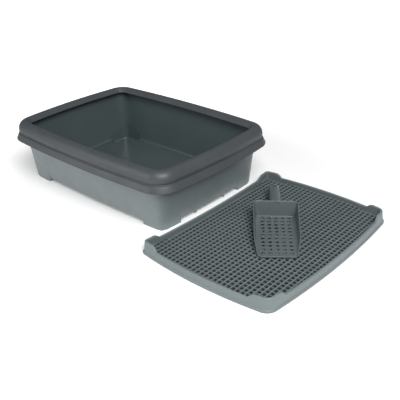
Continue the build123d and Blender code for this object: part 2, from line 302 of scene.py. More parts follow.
# %% [markdown]
# ## The pan
# The pan is one sheet of plastic about three millimetres thick, so it has an outer and an inner
# skin that follow each other. Both skins are sampled on the same columns. The columns stand on
# straight lines along x and y, placed exactly where a foot begins or ends, so the slanted ends of
# the feet come out as clean edges. Near the corners the lines fan out to follow the round corner.
# A block with a bevelled foot at each corner would be quicker, but the real foot grows smoothly
# out of the leaning wall, and its top is where its steeper side and the wall cross.

# %% Columns on straight lines


def lines_between(marks, half, fine, coarse):
    """Symmetric line places from -half to half. They are fine near every mark and coarse
    elsewhere, with one line exactly on each mark."""
    near = [mark + step for mark in marks for step in (-fine, 0, fine)]
    stops = np.unique(np.round([0, half, *[v for v in near if 0 < v < half]], 6))
    parts = [
        np.linspace(a, b, max(1, int(np.ceil((b - a) / coarse))) + 1)[:-1]
        for a, b in zip(stops[:-1], stops[1:])
    ]
    positive = np.append(np.concatenate(parts), half)
    return np.concatenate([-positive[:0:-1], positive])


print("lines up to 10 with a mark at 4", lines_between([4], 10, 1, 3))

# %% [markdown]
# The same lines have to serve the wall, the feet and the floor, or the skins would not join. So
# the columns belong to a frame: it knows where its lines cross a rectangle, and it can find the
# matching place on any outline.

# %% Columns round the pan


class Frame:
    """Columns round a rectangle: vertical lines along its long sides, level lines along its short
    ones. Inside straight_x and straight_y a line keeps its place on every outline; beyond them
    it is stretched so that the corner line meets the middle of the outline's corner arc."""

    def __init__(self, lines_x, lines_y, straight_x, straight_y):
        self.x, self.y = lines_x, lines_y
        self.straight = (straight_x, straight_y)
        self.loop = np.concatenate([
            np.column_stack([lines_x[:-1], np.full(len(lines_x) - 1, lines_y[0])]),
            np.column_stack([np.full(len(lines_y) - 1, lines_x[-1]), lines_y[:-1]]),
            np.column_stack([lines_x[:0:-1], np.full(len(lines_x) - 1, lines_y[-1])]),
            np.column_stack([np.full(len(lines_y) - 1, lines_x[0]), lines_y[:0:-1]]),
        ])
        self.long = np.concatenate([
            np.ones(len(lines_x) - 1), np.zeros(len(lines_y) - 1),
            np.ones(len(lines_x) - 1), np.zeros(len(lines_y) - 1),
        ]).astype(bool)

    def stretched(self, values, half, straight, reach):
        """Places beyond the straight part, spread evenly out to the corner's reach."""
        beyond = np.clip(np.abs(values) - straight, 0, None) / (half - straight)
        return np.where(
            beyond > 0, np.sign(values) * (straight + beyond * (reach - straight)), values
        )

    def on_outline(self, arcs, offset=0.0):
        """Where each column meets an outline."""
        points = arc_points(arcs, offset)
        steps = np.linspace(0, 1, 24, endpoint=False)[:, None, None]
        dense = points + (np.roll(points, -1, 0) - points) * steps
        dense = dense.transpose(1, 0, 2).reshape(-1, 2)
        result = np.empty((len(self.loop), 2))
        for quadrant in ((-1, -1), (1, -1), (1, 1), (-1, 1)):
            side_x, side_y = quadrant
            inside = (dense[:, 0] * side_x >= 0) & (dense[:, 1] * side_y >= 0)
            part = dense[inside] * quadrant
            order = np.argsort(np.arctan2(part[:, 1], part[:, 0]))
            part = part[order]
            corner = part[np.argmax(part.sum(1) - 0.12 * np.abs(part[:, 0] - part[:, 1]))]
            columns = (np.sign(self.loop[:, 0]) * side_x >= 0) & (
                np.sign(self.loop[:, 1]) * side_y >= 0
            )
            here = np.abs(self.loop)
            place_x = self.stretched(here[:, 0], self.x[-1], self.straight[0], corner[0])
            place_y = self.stretched(here[:, 1], self.y[-1], self.straight[1], corner[1])
            far_y = part[part[:, 0] <= corner[0] + 1e-9]
            far_x = part[part[:, 1] <= corner[1] + 1e-9]
            by_x = np.interp(place_x, *far_y[np.argsort(far_y[:, 0])].T)
            sorted_y = far_x[np.argsort(far_x[:, 1])]
            by_y = np.interp(place_y, sorted_y[:, 1], sorted_y[:, 0])
            on_long = np.column_stack([place_x, by_x]) * quadrant
            on_short = np.column_stack([by_y, place_y]) * quadrant
            chosen = np.where(self.long[:, None], on_long, on_short)
            result[columns] = chosen[columns]
        return result


test_frame = Frame(np.linspace(-2, 2, 5), np.linspace(-1, 1, 3), 1, 0.5)
print("a frame of 5 by 3 lines has", len(test_frame.loop), "columns")

# %% [markdown]
# Top and bottom of a shell are filled with the crossings of the same lines. The border of each
# fill is the last row of the wall, so no seam is left open between floor and wall.

# %% Closing the shell


def rectangle_fill(frame_lines, loop_start, new_start, flip):
    """Faces of the grid inside the rectangle. Its border uses the loop's own points, so the
    surface stays closed; only the inner crossings are new points."""
    columns, rows = len(frame_lines.x), len(frame_lines.y)
    number = np.empty((rows, columns), int)
    number[1:-1, 1:-1] = new_start + np.arange((rows - 2) * (columns - 2)).reshape(
        rows - 2, columns - 2
    )
    steps = np.arange(len(frame_lines.loop)) + loop_start
    a, b, c = columns - 1, columns + rows - 2, 2 * columns + rows - 3
    number[0, :-1] = steps[:a]
    number[:-1, -1] = steps[a:b]
    number[-1, :0:-1] = steps[b:c]
    number[:0:-1, 0] = steps[c:]
    corners = (number[:-1, :-1], number[:-1, 1:], number[1:, 1:], number[1:, :-1])
    faces = np.stack(corners, axis=-1).reshape(-1, 4)
    return faces[:, ::-1] if flip else faces


def inner_crossings(frame_lines):
    """Crossings of the lines inside the rectangle, row by row."""
    x, y = np.meshgrid(frame_lines.x[1:-1], frame_lines.y[1:-1])
    return np.column_stack([x.ravel(), y.ravel()])


def closed_shell(frame_lines, rows, low_field, high_field):
    """One closed mesh: the low rectangle, the rows from low to high, and the high rectangle.
    Rows are arrays of points round the frame and already include both rectangle loops."""
    count = len(frame_lines.loop)
    side = grid_faces(len(rows), count, False, True)
    inside = inner_crossings(frame_lines)
    low = np.column_stack([inside, low_field(inside[:, 0], inside[:, 1])])
    high = np.column_stack([inside, high_field(inside[:, 0], inside[:, 1])])
    total = len(rows) * count
    faces = np.concatenate([
        side,
        rectangle_fill(frame_lines, 0, total, True),
        rectangle_fill(frame_lines, total - count, total + len(inside), False),
    ])
    return np.concatenate([*rows, low, high]), faces


print("and", len(inner_crossings(test_frame)), "crossings inside")

# %% [markdown]
# The foot's outline and the wall's outline are both known at every height, and the skin is
# whichever lies further out. That gives the pointed top of each foot for free: it is simply
# where the two cross. Inside, the foot is a pocket that is open to the floor.

# %% Pan sizes
pan_wall = 3 * MM
foot_height = 9.5 * MM
panel_rise = 1.4 * MM
pan_top = pan_high[2]
edge_reach = 3 * MM
pan_half_top = (pan_high - pan_low)[:2] / 2 - edge_reach
wall_lean = np.array([27.5, 25]) * MM
pan_half_base = pan_half_top - wall_lean
foot_reach = 62 * MM
foot_proud = 1.5 * MM
foot_half = pan_half_base + foot_proud
foot_end_angle, foot_side_angle = np.radians([25, 5])
foot_run = foot_height * np.tan(foot_end_angle)
foot_peak = 66 * MM
foot_grow = foot_peak * np.tan(foot_side_angle)
pan_places = np.linspace(-1, 1, 25)
base_bow, top_bow = 6 * MM, 10 * MM
base_radius, top_radius, foot_radius = 20 * MM, 38 * MM, 12 * MM
print("pan half sizes at the top", pan_half_top, "and at the base", pan_half_base)

# %% [markdown]
# Four outlines describe the whole outside: the wall at its foot and at its top, and the foot
# block at the floor and at its peak. Lines are placed exactly where the end of a foot starts and
# stops, with finer ones beside them.

# %% Pan outlines


def pan_arcs(half, bow, radius):
    """Arcs of an outline whose sides swell by the bow to the given half sizes."""
    return bowed_arcs(
        half[0] - bow, half[1] - bow, [bow] * 4, [radius] * 4, (pan_places, pan_places)
    )


foot_lines = [foot_reach + v for v in (-3 * MM, 0, 1.4 * MM, foot_run)]
pan_frame = Frame(
    lines_between([foot_half[0] - v for v in foot_lines], 202 * MM, 0.8 * MM, 8 * MM),
    lines_between([foot_half[1] - v for v in foot_lines], 132 * MM, 0.8 * MM, 8 * MM),
    foot_half[0] - foot_reach + 4 * MM,
    foot_half[1] - foot_reach + 4 * MM,
)
print("pan columns", len(pan_frame.loop))

# %% [markdown]
# Between its low and its high end an outline is a straight blend, because the mould has to let
# the pan go in one pull. The skin takes the foot only where it stands further out.

# %% Pan skin at any height


def pan_outline(offset):
    """Wall and foot outlines on the frame's columns, each at its low and its high end."""
    wall_low = pan_frame.on_outline(pan_arcs(pan_half_base, base_bow, base_radius), offset)
    wall_high = pan_frame.on_outline(pan_arcs(pan_half_top, top_bow, top_radius), offset)
    foot_low, foot_high = (
        pan_frame.on_outline(pan_arcs(foot_half + grow, base_bow, foot_radius), offset)
        for grow in (0, foot_grow)
    )
    return wall_low, wall_high, foot_low, foot_high


def foot_share(points, reach, run):
    """1 inside a foot's block, 0 outside it, and a slope between them."""
    depth = np.abs(points) - (foot_half - reach - run)
    return np.clip(depth.min(-1) / run, 0, 1)


def pan_skin(outlines, heights, reach, run):
    """Points of a skin at a height for each column: the outer of wall and foot."""
    wall_low, wall_high, foot_low, foot_high = outlines
    up_wall = ((heights - foot_height) / (pan_top - foot_height))[:, None]
    up_foot = (heights / foot_peak)[:, None]
    wall = wall_low + (wall_high - wall_low) * up_wall
    foot = foot_low + (foot_high - foot_low) * up_foot
    ahead = np.abs(foot).sum(1) - np.abs(wall).sum(1)
    share = np.clip(ahead / (0.3 * MM), 0, 1) * foot_share(foot_low, reach, run)
    return wall + (foot - wall) * share[:, None]


feet_columns = foot_share(pan_outline(0)[2], foot_reach, foot_run) > 0
print("of them over the feet", int(feet_columns.sum()))

# %% [markdown]
# Each skin then gets its rows. The height above the lower edge also sets the rounding: near the
# edge the skin moves inwards by r - sqrt(r^2 - (r - h)^2), a quarter circle of radius r.

# %% Rows with a rounded edge


def quarter_round(height, radius):
    """How far a rounded edge stands back at a height above it."""
    left = radius - np.clip(height, 0, radius)
    return radius - np.sqrt(np.clip(radius ** 2 - left ** 2, 0, None))


def skin_row(height, offset, reach, run):
    """Row of the pan at a height for each column, moved outwards by the offset."""
    flat = pan_skin(pan_outline(offset), height, reach, run)
    return np.column_stack([flat, height])


def band(frame_lines, edge, distances, steps, field):
    """Rings from an edge to the rectangle: first at set distances, then evenly spread."""
    way = frame_lines.loop - edge[:, :2]
    length = np.linalg.norm(way, axis=1)
    first = np.minimum(np.array(distances)[:, None] / length, 0.9)
    rest = first[-1] + (1 - first[-1]) * np.linspace(0, 1, steps + 1)[1:, None]
    rings = []
    for share in np.concatenate([first, rest]):
        ring = edge[:, :2] + way * share[:, None]
        rings.append(np.column_stack([ring, field(ring[:, 0], ring[:, 1], share * length)]))
    return rings


print("a quarter circle of radius 1 stands back", quarter_round(0.5, 1.0), "half way up")

# %% [markdown]
# The underside is at foot height between the feet and on the ground below them. Inside, the same
# block shapes, smaller by the wall, sink the pockets, and the panel between them is a little
# higher. Both are written as heights over x and y, so any point can ask for them.

# %% Underside and floor


def smooth_step(value, low, high):
    """0 below low, 1 above high, and 3 s^2 - 2 s^3 between them."""
    share = np.clip((value - low) / (high - low), 0, 1)
    return share * share * (3 - 2 * share)


def under_height(x, y, distance=0):
    """Underside: on the floor below a foot, at foot height elsewhere."""
    return foot_height * (1 - foot_share(np.stack([x, y], -1), foot_reach, foot_run))


def floor_height(x, y, distance=1):
    """Inside: pocket bottoms at the wall's thickness, a raised floor panel between them."""
    pocket = foot_share(np.stack([x, y], -1), foot_reach - pan_wall, foot_run)
    panel = foot_height + pan_wall + panel_rise * smooth_step(distance, 8 * MM, 10 * MM)
    return panel * (1 - pocket) + pan_wall * pocket


print("floor panel lies at", floor_height(0.0, 0.0))

# %% [markdown]
# Now the shell is laid out from the middle of the underside outwards, up the outer skin, over the
# top edge, down the inner skin and in to the middle of the floor. The last lines mark the points
# of the inner skin, which later gets a smoother finish and a painted shade.

# %% Pan skins


def wall_rows(bottom, top, radius, offset, reach, shares):
    """Rows from a bottom edge that is rounded inwards up to the top."""
    rows = []
    for rise in edge_shares * radius:
        rows.append(skin_row(bottom + rise, offset - quarter_round(rise, radius), reach, foot_run))
    for share in shares:
        rows.append(skin_row(bottom + radius + (top - bottom - radius) * share, offset, reach,
                             foot_run))
    return rows


edge_shares = np.array([0, 0.12, 0.4, 1.0])
outer_round, inner_round = 1.0 * MM, 3.5 * MM
inner_top_gap = 0.8 * MM
edge_profile = ((-3, 2.6), (-2.7, 3), (-0.5, 3), (0, 2.5), (0, -2.4))
band_steps = 12
base = pan_outline(0)[2]
outer_bottom = under_height(base[:, 0], base[:, 1])
outer_top = np.full(len(base), pan_top - edge_reach)
shares = np.linspace(0, 1, 34)[1:]
outer = wall_rows(outer_bottom, outer_top, outer_round, 0.0, foot_reach, shares)
inner_bottom = floor_height(base[:, 0], base[:, 1], 0)
inner_top = np.full(len(base), pan_top - inner_top_gap)
inner = wall_rows(
    inner_bottom, inner_top, inner_round, -pan_wall, foot_reach - pan_wall, shares
)
edge = [
    skin_row(np.full(len(base), pan_top + drop * MM), reach * MM, foot_reach, foot_run)
    for drop, reach in edge_profile
]
under = band(pan_frame, outer[0], [1 * MM, 4 * MM], band_steps, under_height)[::-1]
panel_rings = np.array([2, 4, 5, 6, 7, 9, 12]) * MM
inside = band(pan_frame, inner[0], panel_rings, band_steps, floor_height)
points, faces = closed_shell(
    pan_frame, under + outer + edge + inner[::-1] + inside, under_height,
    lambda x, y: floor_height(x, y, 1)
)
count = len(pan_frame.loop)
inner_start = (len(under) + len(outer) + len(edge)) * count
# These points take the inside's lower roughness and its painted shade.
gloss_and_painted_shade = np.zeros(len(points))
gloss_and_painted_shade[inner_start : inner_start + (len(inner) + len(inside)) * count] = 1
gloss_and_painted_shade[-len(inner_crossings(pan_frame)) :] = 1
print("pan skins have", len(points), "points")

# %% [markdown]
# Four small nubs hang under the two short ends, between the feet. Their use is a guess: they may
# keep stacked pans apart. Each is a block whose lower edges are broken at a slant. It reaches up
# into the floor's thickness, as a moulded nub does, so nothing shows between the two.

# %% Nubs under the pan
nub_half = np.array([4.0, 2.5]) * MM
nub_height = 6 * MM
nub_setback, nub_side = 6 * MM, 49.5 * MM
nub_places = np.array([pan_half_base[0] - nub_setback, nub_side])
quadrants = np.array([(-1, -1), (1, -1), (1, 1), (-1, 1)])
nub_rings = [(0.84, 0), (1, 0.5 * MM), (1, nub_height + pan_wall / 2)]
nub_faces = np.concatenate([
    grid_faces(len(nub_rings), 4, False, True), [[3, 2, 1, 0], [8, 9, 10, 11]]
])
for quadrant in quadrants:
    rings = [
        np.column_stack([
            quadrant * nub_places + quadrants * nub_half * share,
            np.full(4, foot_height - nub_height + rise),
        ])
        for share, rise in nub_rings
    ]
    faces = np.concatenate([faces, nub_faces + len(points)])
    points = np.concatenate([points, *rings])
gloss_and_painted_shade = np.append(gloss_and_painted_shade, np.zeros(len(points) - len(gloss_and_painted_shade)))
points[:, :2] += pan_middle
pan_piece = make_piece("pan_shell", points, faces)
pan_piece.data.attributes.new("gloss_and_painted_shade", "FLOAT", "POINT").data.foreach_set("value", gloss_and_painted_shade)
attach(pan_piece, "pan")
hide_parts("pan")

# %% [markdown]
# ## The grid mat
# The mat is a low tray: a wall with a small plinth, four corner lugs that stand up higher, and a
# floor of square pockets that catch litter from the paws. Its side by the pan is hollow, so the
# sheet's outline needs one arc with a negative bow. The wall is a closed ring whose top height
# changes along the outline. The grid is a sheet of heights over x and y, cut to the outline.

# %% Mat sizes and outline
mat_bow = 13 * MM
plinth_reach = 1.6 * MM
mat_half_long = (mat_high[1] - mat_low[1]) / 2 - mat_bow - plinth_reach
mat_half = np.array([mat_half_long - 53 * MM, mat_half_long])
mat_middle = np.array([
    mat_high[0] - plinth_reach - mat_bow - mat_half[0], (mat_low[1] + mat_high[1]) / 2
])
mat_wall_height = 19 * MM
lug_height = mat_high[2] - mat_wall_height
lug_reach = 46 * MM
lug_angle = np.radians(40)
lug_run = lug_height * np.tan(lug_angle)
mat_floor_top = 4 * MM
hollow_bow = -10 * MM
mat_radii = np.array([24, 24, 13, 13]) * MM
wall_base, wall_draw, wall_round = 5 * MM, 2.5 * MM, 2.5 * MM


def mat_places(half):
    """Even places along a side with extra ones where a lug begins and where its slope ends."""
    marks = [1 - (lug_reach - v) / half for v in (-1.5 * MM, 0, lug_run, lug_run + 1.5 * MM)]
    return np.unique(np.concatenate([np.linspace(-1, 1, 41), marks, np.negative(marks)]))


mat_arcs = bowed_arcs(
    mat_half[0], mat_half[1], [mat_bow, mat_bow, mat_bow, hollow_bow], mat_radii,
    (mat_places(mat_half[0]), mat_places(mat_half[1])), 16
)
lug_depth = (np.abs(arc_points(mat_arcs)) - mat_half + lug_reach).min(1) / lug_run
wall_top = mat_wall_height + lug_height * smooth_step(lug_depth, -0.05, 1.05)
print("mat outline has", len(mat_arcs[0]), "points, its lugs rise", lug_height)

# %% [markdown]
# The rows walk up the outside from the plinth, over the round top and down the inside. A row is a
# share of the wall's height, so where a lug stands the same rows are simply stretched higher, and
# the slopes of the lugs need no mesh of their own.

# %% Mat wall rows


def mat_ring(low_offset, share):
    """Row of the wall at a share of its height, moved outwards by the offset."""
    height = wall_base + (wall_top - wall_base) * share
    flat = arc_points(mat_arcs, low_offset) + mat_middle
    drawn_in = -wall_draw * height[:, None] / mat_wall_height
    flat = flat + unit(mat_arcs[2]) * drawn_in * (share > 0)
    return np.column_stack([flat, height])


def flat_ring(offset, height):
    """Row at one height."""
    flat = arc_points(mat_arcs, offset) + mat_middle
    return np.column_stack([flat, np.full(len(flat), height)])


plinth_profile = ((1.2, 0), (1.6, 0.5), (1.6, 4.4), (1.1, 5.0), (-0.4, 5.2))
mat_rows = [flat_ring(reach * MM, height * MM) for reach, height in plinth_profile]
for share in np.linspace(0.06, 0.93, 9):
    mat_rows.append(mat_ring(0.0, share))
top_turn = np.linspace(0, np.pi, 9)[1:-1]
for turn_angle in top_turn:
    mat_rows.append(mat_ring(
        wall_round * (np.cos(turn_angle) - 1), 0.93 + 0.07 * np.sin(turn_angle)
    ))
for share in np.linspace(0.93, 0.06, 7):
    mat_rows.append(mat_ring(-2 * wall_round, share))
mat_rows += [flat_ring(reach * MM, height * MM) for reach, height in ((-7.5, 2), (-5, 2), (-5, 0))]
mat_rows = np.array(mat_rows)
ring_faces = grid_faces(*mat_rows.shape[:2], True, True)
print("mat wall grid", mat_rows.shape)

# %% [markdown]
# The grid is the finest form on the whole set. Every rib has a flat top and short sloping sides,
# so each pitch needs only four lines. The ribs that run across are a little lower than the
# others, which is why one direction shows as long bright lines. A displacement would round the
# ribs off or need far more faces.

# %% Ribs
rib_pitch = 11 * MM
rib_half_top = 0.9 * MM
rib_half_foot = 1.4 * MM
long_rib_top = 9.5 * MM
cross_rib_top = 8.4 * MM
sheet_bottom = 2.2 * MM
sheet_setback = 5.5 * MM


def rib_lines(reach):
    """Line places: the foot and the top edge of both flanks of every rib."""
    centres = np.arange(-int(reach / rib_pitch) - 1, int(reach / rib_pitch) + 2) * rib_pitch
    flanks = np.array([-rib_half_foot, -rib_half_top, rib_half_top, rib_half_foot])
    return (centres[:, None] + flanks).ravel()


def rib_share(values):
    """1 on a rib's top, 0 in a pocket."""
    away = np.abs(values - np.round(values / rib_pitch) * rib_pitch)
    return np.clip((rib_half_foot - away) / (rib_half_foot - rib_half_top), 0, 1)


print("rib share on a rib and in a pocket", rib_share(np.array([0, rib_pitch / 2])))

# %% [markdown]
# The grid of lines is a plain rectangle and the mat is not. A Boolean cut would leave slivers
# along the wall. Points that fall outside are instead pulled back along a ray from the middle,
# and faces that lie outside altogether are dropped.

# %% Cutting the grid to the outline


def pulled_inside(points, outline):
    """Points outside an outline are moved towards the middle until they lie on it."""
    order = np.argsort(np.arctan2(outline[:, 1], outline[:, 0]))
    sorted_outline = outline[order]
    angles = np.arctan2(sorted_outline[:, 1], sorted_outline[:, 0])
    limit = np.interp(
        np.arctan2(points[:, 1], points[:, 0]), angles, np.linalg.norm(sorted_outline, axis=1),
        period=2 * np.pi
    )
    length = np.linalg.norm(points, axis=1)
    outside = length > limit
    return points * np.where(outside, limit / np.maximum(length, 1e-9), 1)[:, None], outside


print("a far point is pulled in to", pulled_inside(np.array([[1.0, 0]]), arc_points(mat_arcs))[0])

# %% [markdown]
# A sheet with a hole or a free edge needs a strip of faces round each border. Such an edge can be
# recognised without knowing the shape: only one face uses it. Solidify does the same, but with
# two given skins the thickness can change from place to place.

# %% One sheet from two skins


def two_skins(upper, lower, faces):
    """Closed sheet from the faces of its upper skin: the lower skin has the same faces turned
    over, and every border edge, which only one face uses, gets a strip down to the lower skin.
    Points that share a place are joined and unused ones are dropped."""
    kept, first, joined = np.unique(
        np.round(upper * 1e7).astype(np.int64), axis=0, return_index=True, return_inverse=True
    )
    faces = joined.reshape(-1)[faces]
    edges = np.concatenate([faces[:, [k, (k + 1) % 4]] for k in range(4)])
    key = np.sort(edges, axis=1) @ np.array([len(kept), 1])
    _, number, uses = np.unique(key, return_inverse=True, return_counts=True)
    border = edges[uses[number] == 1]
    count = len(kept)
    strip = np.column_stack([border[:, ::-1], border + count])
    whole = np.concatenate([faces, faces[:, ::-1] + count, strip])
    used, packed = np.unique(whole, return_inverse=True)
    points = np.concatenate([upper[first], lower[first]])[used]
    return points, packed.reshape(-1, 4)


test_tile = np.array([(0, 0, 1), (1, 0, 1), (1, 1, 1), (0, 1, 1)], float)
test_sheet = two_skins(test_tile, test_tile - (0, 0, 1), np.array([[0, 1, 2, 3]]))
print("a square with two skins has", len(test_sheet[1]), "faces")

# %% [markdown]
# Heights come from the ribs: the higher of the two directions wins, so the long ribs run through
# and the cross ribs butt against them. The sheet reaches a little into the wall ring, as one
# moulding would, and both are written into the same mesh.

# %% Mat mesh
line_x, line_y = rib_lines(mat_half[0] + mat_bow), rib_lines(mat_half[1] + mat_bow)
x, y = (v.ravel() for v in np.meshgrid(line_x, line_y))
inner_outline = arc_points(mat_arcs, -sheet_setback)
sheet, outside = pulled_inside(np.column_stack([x, y]), inner_outline)
heights = mat_floor_top + np.maximum(
    (long_rib_top - mat_floor_top) * rib_share(x), (cross_rib_top - mat_floor_top) * rib_share(y)
)
heights[outside] = mat_floor_top
sheet_faces = grid_faces(len(line_y), len(line_x), False, False)
sheet_faces = sheet_faces[~outside[sheet_faces].all(1)]
sheet_top = np.column_stack([sheet + mat_middle, heights])
sheet_under = np.column_stack([sheet + mat_middle, np.full(len(x), sheet_bottom)])
sheet_points, sheet_faces = two_skins(sheet_top, sheet_under, sheet_faces)
ring_points = mat_rows.reshape(-1, 3)
mat_points = np.concatenate([ring_points, sheet_points])
mat_faces = np.concatenate([ring_faces, sheet_faces + len(ring_points)])
mat_piece = make_piece("mat_shell", mat_points, mat_faces)
mat_piece.data.polygons.foreach_set(
    "use_smooth", np.arange(len(mat_faces)) < len(ring_faces)
)
in_grid = (np.arange(len(mat_points)) >= len(ring_points)).astype(float)
mat_piece.data.attributes.new("grid", "FLOAT", "POINT").data.foreach_set("value", in_grid)
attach(mat_piece, "grid_mat")
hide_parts("grid_mat")

# %% [markdown]
# ## The scoop
# The scoop is one thin sheet again: a flat floor with rows of round holes, walls that fall from a
# high back to a low front, and a hollow half-pipe handle. Floor and walls are one sheet with an
# upper and a lower skin. The floor is tiled: a square tile with a round hole is worked out once
# and repeated, so all the holes are equal and each tile shares its border with the next.

# %% Scoop's own axes
scoop_along = unit(np.radians(-52.5))
scoop_across = np.array([-scoop_along[1], scoop_along[0]])
scoop_origin = pan_middle + np.array([391, 37]) * MM
scoop_wall = 2.4 * MM
scoop_length = 168 * MM
back_height = scoop_high[2] - scoop_low[2]
shoulder_place, shoulder_height, front_height = 122 * MM, 22 * MM, 4.5 * MM
basket_half, front_half = 46 * MM, 40 * MM
side_lean, back_lean = 4 * MM, 7 * MM


def to_set(local):
    """From the scoop's own axes (along, across, up) to the set's."""
    flat = scoop_origin + local[:, :1] * scoop_along + local[:, 1:2] * scoop_across
    return np.column_stack([flat, scoop_low[2] + local[:, 2]])


print("scoop points along", scoop_along)

# %% [markdown]
# Seen from above the basket is a trough that narrows to the front and leans outwards as it rises.
# One function gives its outline at any height and for either skin.

# %% Basket outline


def basket_outline(height, inset):
    """Rounded outline of the basket at a height: back, two straight sides, two tapered ones."""
    grow = side_lean * height / back_height - inset
    lean = back_lean * height / back_height
    right = [
        (-lean + inset, -basket_half - grow), (shoulder_place, -basket_half - grow),
        (scoop_length - inset, -front_half - grow),
    ]
    left = [(along, -across) for along, across in right[::-1]]
    return rounded_profile(right + left, np.array([9, 60, 9, 9, 60, 9]) * MM - inset, 8)


print("basket outline has", len(basket_outline(0, 0)), "points")

# %% [markdown]
# The tile's border has as many points as the hole's edge, and rays from the hole's middle join
# them. The border of the whole tiled field then sets the columns of the walls.

# %% Floor tiles
hole_radius = 4 * MM
hole_step = np.array([14.2, 14.5]) * MM
hole_rows, hole_columns = 11, 5
first_hole = 10 * MM
field_low = np.array([first_hole - hole_step[0] / 2, -hole_columns * hole_step[1] / 2])
field_high = field_low + hole_step * (hole_rows, hole_columns)


def square_loop(low, high, steps_along, steps_across):
    """Points round a rectangle, anticlockwise."""
    a = np.linspace(low[0], high[0], steps_along + 1)
    c = np.linspace(low[1], high[1], steps_across + 1)
    return np.concatenate([
        np.column_stack([a[:-1], np.full(steps_along, low[1])]),
        np.column_stack([np.full(steps_across, high[0]), c[:-1]]),
        np.column_stack([a[:0:-1], np.full(steps_along, high[1])]),
        np.column_stack([np.full(steps_across, low[0]), c[:0:-1]]),
    ])


tile_border = square_loop(-hole_step / 2, hole_step / 2, 6, 6)
rays = tile_border / np.linalg.norm(tile_border, axis=1)[:, None]
hole_edge = rays * hole_radius
tile = np.array([tile_border, (tile_border + hole_edge) / 2, hole_edge * 1.08, hole_edge])
centres = np.stack(np.meshgrid(
    field_low[0] + hole_step[0] * (np.arange(hole_rows) + 0.5),
    field_low[1] + hole_step[1] * (np.arange(hole_columns) + 0.5),
), -1).reshape(-1, 1, 1, 2)
tiles = centres + tile
tile_dip = np.array([0, 0, 0, 0.3 * MM])[None, :, None]
tile_size = tile.shape[0] * tile.shape[1]
tile_faces = grid_faces(*tile.shape[:2], False, True)
tile_faces = (tile_faces + tile_size * np.arange(len(tiles))[:, None, None]).reshape(-1, 4)
field_loop = square_loop(field_low, field_high, 6 * hole_rows, 6 * hole_columns)
field_middle = (field_low + field_high) / 2
print(len(tiles), "floor tiles, with", len(field_loop), "points round them")

# %% [markdown]
# Rays from the middle of the tiled field meet the basket's outline, one ray for each point of the
# field's border. The walls then stand on the same columns as the floor and need no stitching.

# %% Basket rows


def basket_points(inset):
    """Low and high outline where rays from the field's middle meet them."""
    result = []
    for height in (0, back_height):
        points = basket_outline(height, inset) - field_middle
        shares = np.linspace(0, 1, 12, endpoint=False)[:, None, None]
        dense = (points + (np.roll(points, -1, 0) - points) * shares).reshape(-1, 2)
        angle = np.arctan2(dense[:, 1], dense[:, 0])
        order = np.argsort(angle)
        wanted = field_loop - field_middle
        length = np.interp(
            np.arctan2(wanted[:, 1], wanted[:, 0]), angle[order],
            np.linalg.norm(dense, axis=1)[order], period=2 * np.pi
        )
        ways = wanted / np.linalg.norm(wanted, axis=1)[:, None]
        result.append(field_middle + ways * length[:, None])
    return result


def side_top(along):
    """Top of the walls: high at the back, a shoulder, then down to the front lip."""
    return np.interp(
        along, [0, shoulder_place, scoop_length - 9 * MM],
        [back_height, shoulder_height, front_height]
    )


def basket_row(height, inset):
    """Row of the basket at a height for each column."""
    low, high = basket_points(inset)
    share = (np.broadcast_to(height, len(low)) / back_height)[:, None]
    return np.column_stack([low + (high - low) * share, np.broadcast_to(height, len(low))])


print("basket walls are", side_top(0.0), "high at the back")

# %% [markdown]
# Both skins start at the tiles, turn up through a small radius and rise to the slanted top. The
# top edge is drawn in on both sides, which rounds it.

# %% Basket skins
top = side_top(basket_points(0)[0][:, 0])
loop_row = np.column_stack([field_loop, np.zeros(len(field_loop))])
upper_rows = [loop_row + (0, 0, scoop_wall)]
lower_rows = [loop_row]
for turn in (0, 45, 90):
    back_in = (1 - np.sin(np.radians(turn))) * MM
    rise = (1 - np.cos(np.radians(turn))) * MM
    upper_rows.append(basket_row(scoop_wall + rise, scoop_wall + back_in))
    lower_rows.append(basket_row(rise, back_in))
for share in np.linspace(0, 1, 12)[1:]:
    upper_rows.append(basket_row(3.4 * MM + (top - 4.1 * MM) * share, scoop_wall))
    lower_rows.append(basket_row(1 * MM + (top - 1.7 * MM) * share, 0))
for drop, back_in in ((0.2, 0.25), (0, 0.7)):
    upper_rows.append(basket_row(top - drop * MM, scoop_wall - back_in * MM))
    lower_rows.append(basket_row(top - drop * MM, back_in * MM))
upper_tiles, lower_tiles = (
    np.concatenate([tiles, np.broadcast_to(height[..., None], tiles.shape[:3] + (1,))], -1)
    .reshape(-1, 3) for height in (scoop_wall - tile_dip, tile_dip)
)
wall_faces = grid_faces(len(upper_rows), len(field_loop), False, True, len(upper_tiles))[:, ::-1]
basket, basket_faces = two_skins(
    np.concatenate([upper_tiles, *upper_rows]), np.concatenate([lower_tiles, *lower_rows]),
    np.concatenate([tile_faces, wall_faces])
)
print("basket", len(basket), "points")

# %% [markdown]
# The handle is the same kind of sheet. Its lines run along it and over its arch, and the
# square field round the hanging hole is one more tile.

# %% Handle lines and its hanging hole
handle_length = 104 * MM
handle_half = 13.5 * MM
handle_arch = 13 * MM
handle_end = 6 * MM
tile_half = 7 * MM
hang_radius = 4.5 * MM
hang_place = handle_length - 13 * MM
arch_sides = np.array([0.62, 0.72, 0.81, 0.89, 0.95, 0.985, 1.0])
arch_lines = np.concatenate([
    -arch_sides[::-1], np.linspace(-tile_half, tile_half, 7) / handle_half, arch_sides
])
length_lines = np.concatenate([
    np.linspace(-1 * MM, hang_place - tile_half, 15)[:-1],
    np.linspace(hang_place - tile_half, hang_place + tile_half, 7),
    handle_length - handle_end * (1 - np.sin(np.radians([22, 45, 65, 80, 90]))),
])
along, over = (grid.ravel() for grid in np.meshgrid(length_lines, arch_lines))
handle_faces = grid_faces(len(arch_lines), len(length_lines), False, False)
in_tile = (np.abs(over[handle_faces].mean(1)) < tile_half / handle_half) & (
    np.abs(along[handle_faces].mean(1) - hang_place) < tile_half
)
hang_border = square_loop((-tile_half, -tile_half), (tile_half, tile_half), 6, 6)
hang_edge = hang_border / np.linalg.norm(hang_border, axis=1)[:, None] * hang_radius
